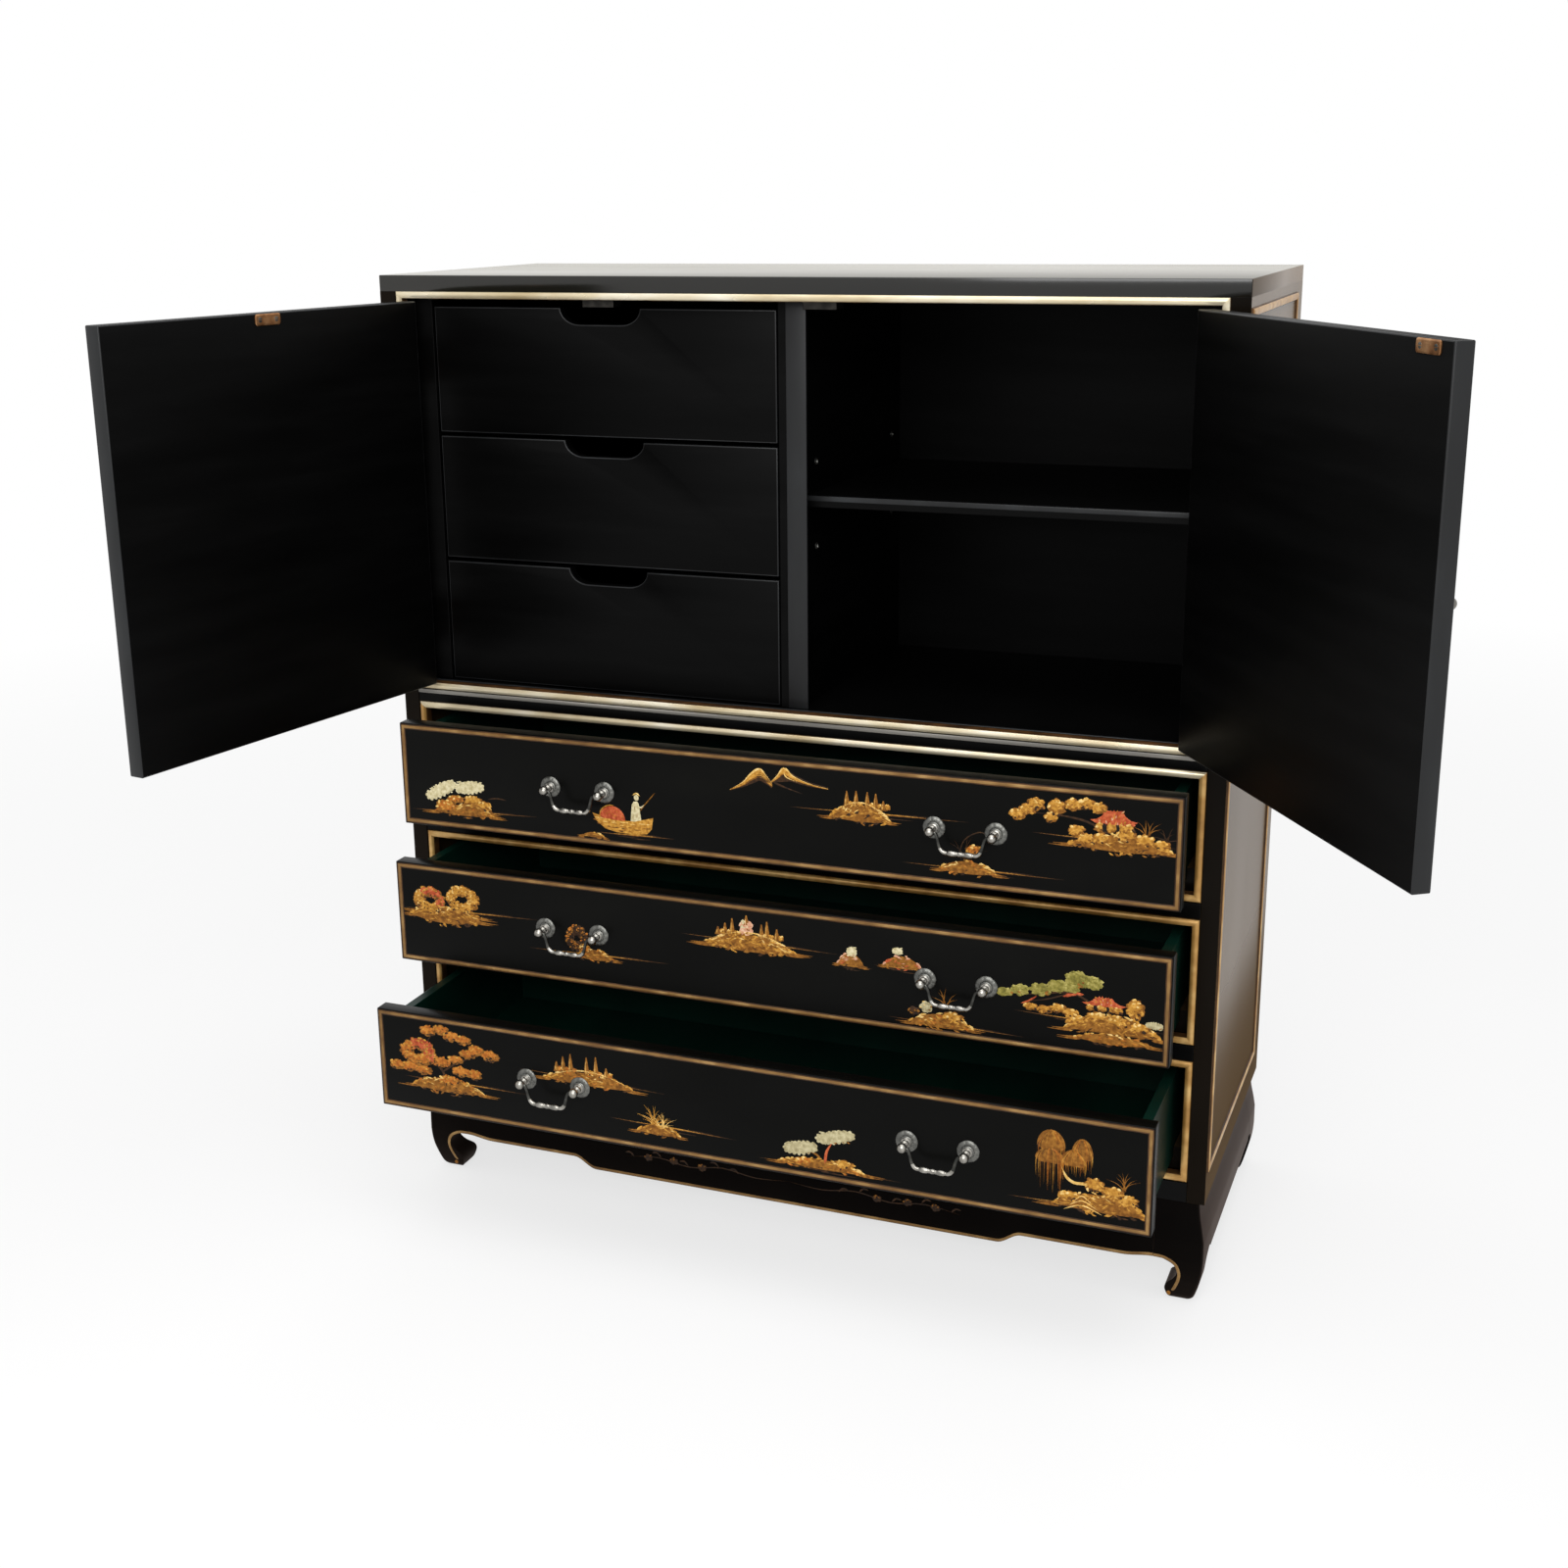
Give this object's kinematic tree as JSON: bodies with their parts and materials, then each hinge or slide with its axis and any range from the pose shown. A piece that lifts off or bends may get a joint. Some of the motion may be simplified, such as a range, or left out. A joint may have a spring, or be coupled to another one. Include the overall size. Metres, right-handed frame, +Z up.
{
  "type": "lacquer dresser",
  "caption": "Black lacquer dresser on hoof feet: a double-door cupboard with inner drawers and a shelf above wide drawers, with gilt opening beads and swinging bail handles.",
  "frame": {"origin": "on the floor, under the middle of the bounding box of the dresser as stored: doors and wide drawers open, inner drawers shut", "axes": "+X to the right as seen from the front, +Y from the front towards the back, +Z up"},
  "size_m": [1.1832, 0.7936, 1.05],
  "materials": {
    "black_lacquer": "gloss black lacquer",
    "satin_black_inside": "satin black paint",
    "dark_green_drawer_inside": "satin dark green paint",
    "gilt_bead": "gilded",
    "pewter_handle": "polished pewter",
    "brass_hardware": "satin brass"
  },
  "bodies": {
    "carcass": {"top_panel": "black_lacquer", "ceiling_board": "satin_black_inside", "left_side": "black_lacquer", "right_side": "black_lacquer", "back_panel": "satin_black_inside", "base_board": "black_lacquer", "waist_rail": "black_lacquer", "upper_drawer_rail": "black_lacquer", "lower_drawer_rail": "black_lacquer", "cupboard_floor": "satin_black_inside", "centre_divider": "satin_black_inside", "drawer_bay_side": "satin_black_inside", "cupboard_shelf": "satin_black_inside", "door_bead": "gilt_bead", "upper_drawer_bead": "gilt_bead", "middle_drawer_bead": "gilt_bead", "lower_drawer_bead": "gilt_bead", "front_left_leg": "black_lacquer", "front_right_leg": "black_lacquer", "rear_left_leg": "black_lacquer", "rear_right_leg": "black_lacquer", "front_apron": "black_lacquer", "left_apron": "black_lacquer", "right_apron": "black_lacquer", "rear_rail": "black_lacquer", "left_upper_hinge_frame_leaf": "brass_hardware", "left_lower_hinge_frame_leaf": "brass_hardware", "right_upper_hinge_frame_leaf": "brass_hardware", "right_lower_hinge_frame_leaf": "brass_hardware", "left_catch": "brass_hardware", "right_catch": "brass_hardware"},
    "left_door": {"left_door": "black_lacquer", "left_upper_hinge_door_leaf": "brass_hardware", "left_lower_hinge_door_leaf": "brass_hardware", "left_strike_plate": "brass_hardware"},
    "right_door": {"right_door": "black_lacquer", "right_upper_hinge_door_leaf": "brass_hardware", "right_lower_hinge_door_leaf": "brass_hardware", "right_strike_plate": "brass_hardware"},
    "upper_drawer": {"upper_drawer_front": "black_lacquer", "upper_drawer_box": "dark_green_drawer_inside"},
    "middle_drawer": {"middle_drawer_front": "black_lacquer", "middle_drawer_box": "dark_green_drawer_inside"},
    "lower_drawer": {"lower_drawer_front": "black_lacquer", "lower_drawer_box": "dark_green_drawer_inside"},
    "inner_upper_drawer": {"inner_upper_drawer_front": "satin_black_inside", "inner_upper_drawer_box": "satin_black_inside"},
    "inner_middle_drawer": {"inner_middle_drawer_front": "satin_black_inside", "inner_middle_drawer_box": "satin_black_inside"},
    "inner_lower_drawer": {"inner_lower_drawer_front": "satin_black_inside", "inner_lower_drawer_box": "satin_black_inside"},
    "upper_left_bail": {"upper_drawer_left_bail": "pewter_handle"},
    "upper_right_bail": {"upper_drawer_right_bail": "pewter_handle"},
    "middle_left_bail": {"middle_drawer_left_bail": "pewter_handle"},
    "middle_right_bail": {"middle_drawer_right_bail": "pewter_handle"},
    "lower_left_bail": {"lower_drawer_left_bail": "pewter_handle"},
    "lower_right_bail": {"lower_drawer_right_bail": "pewter_handle"},
    "left_door_bail": {"left_door_bail": "pewter_handle"},
    "right_door_bail": {"right_door_bail": "pewter_handle"}
  },
  "joints": [
    {"name": "left_door_hinge", "type": "hinge", "parent": "carcass", "child": "left_door", "pos_m": [-0.51225, 0.03176, 0.81525], "axis": [0, 0, -1], "range_deg": [-99, 61]},
    {"name": "right_door_hinge", "type": "hinge", "parent": "carcass", "child": "right_door", "pos_m": [0.35065, 0.03176, 0.81525], "axis": [0, 0, 1], "range_deg": [-124.5, 35.5]},
    {"name": "upper_drawer_slide", "type": "slide", "parent": "carcass", "child": "upper_drawer", "axis": [0, -1, 0], "range_m": [-0.06, 0.17]},
    {"name": "middle_drawer_slide", "type": "slide", "parent": "carcass", "child": "middle_drawer", "axis": [0, -1, 0], "range_m": [-0.085, 0.145]},
    {"name": "lower_drawer_slide", "type": "slide", "parent": "carcass", "child": "lower_drawer", "axis": [0, -1, 0], "range_m": [-0.142, 0.088]},
    {"name": "inner_upper_drawer_slide", "type": "slide", "parent": "carcass", "child": "inner_upper_drawer", "axis": [0, -1, 0], "range_m": [0, 0.22]},
    {"name": "inner_middle_drawer_slide", "type": "slide", "parent": "carcass", "child": "inner_middle_drawer", "axis": [0, -1, 0], "range_m": [0, 0.22]},
    {"name": "inner_lower_drawer_slide", "type": "slide", "parent": "carcass", "child": "inner_lower_drawer", "axis": [0, -1, 0], "range_m": [0, 0.22]},
    {"name": "upper_left_bail_swing", "type": "hinge", "parent": "upper_drawer", "child": "upper_left_bail", "pos_m": [-0.2958, -0.03924, 0.517], "axis": [-1, 0, 0], "range_deg": [-30, 95]},
    {"name": "upper_right_bail_swing", "type": "hinge", "parent": "upper_drawer", "child": "upper_right_bail", "pos_m": [0.1342, -0.03924, 0.517], "axis": [-1, 0, 0], "range_deg": [-30, 95]},
    {"name": "middle_left_bail_swing", "type": "hinge", "parent": "middle_drawer", "child": "middle_left_bail", "pos_m": [-0.2958, -0.06424, 0.364], "axis": [-1, 0, 0], "range_deg": [-30, 95]},
    {"name": "middle_right_bail_swing", "type": "hinge", "parent": "middle_drawer", "child": "middle_right_bail", "pos_m": [0.1342, -0.06424, 0.364], "axis": [-1, 0, 0], "range_deg": [-30, 95]},
    {"name": "lower_left_bail_swing", "type": "hinge", "parent": "lower_drawer", "child": "lower_left_bail", "pos_m": [-0.2958, -0.12124, 0.211], "axis": [-1, 0, 0], "range_deg": [-30, 95]},
    {"name": "lower_right_bail_swing", "type": "hinge", "parent": "lower_drawer", "child": "lower_right_bail", "pos_m": [0.1342, -0.12124, 0.211], "axis": [-1, 0, 0], "range_deg": [-30, 95]},
    {"name": "left_door_bail_swing", "type": "hinge", "parent": "left_door", "child": "left_door_bail", "pos_m": [-0.58044, -0.32846, 0.826], "axis": [0.1564, 0.9877, 0], "range_deg": [-30, 95]},
    {"name": "right_door_bail_swing", "type": "hinge", "parent": "right_door", "child": "right_door_bail", "pos_m": [0.56727, -0.26401, 0.826], "axis": [0.5664, -0.8241, 0], "range_deg": [-30, 95]}
  ]
}
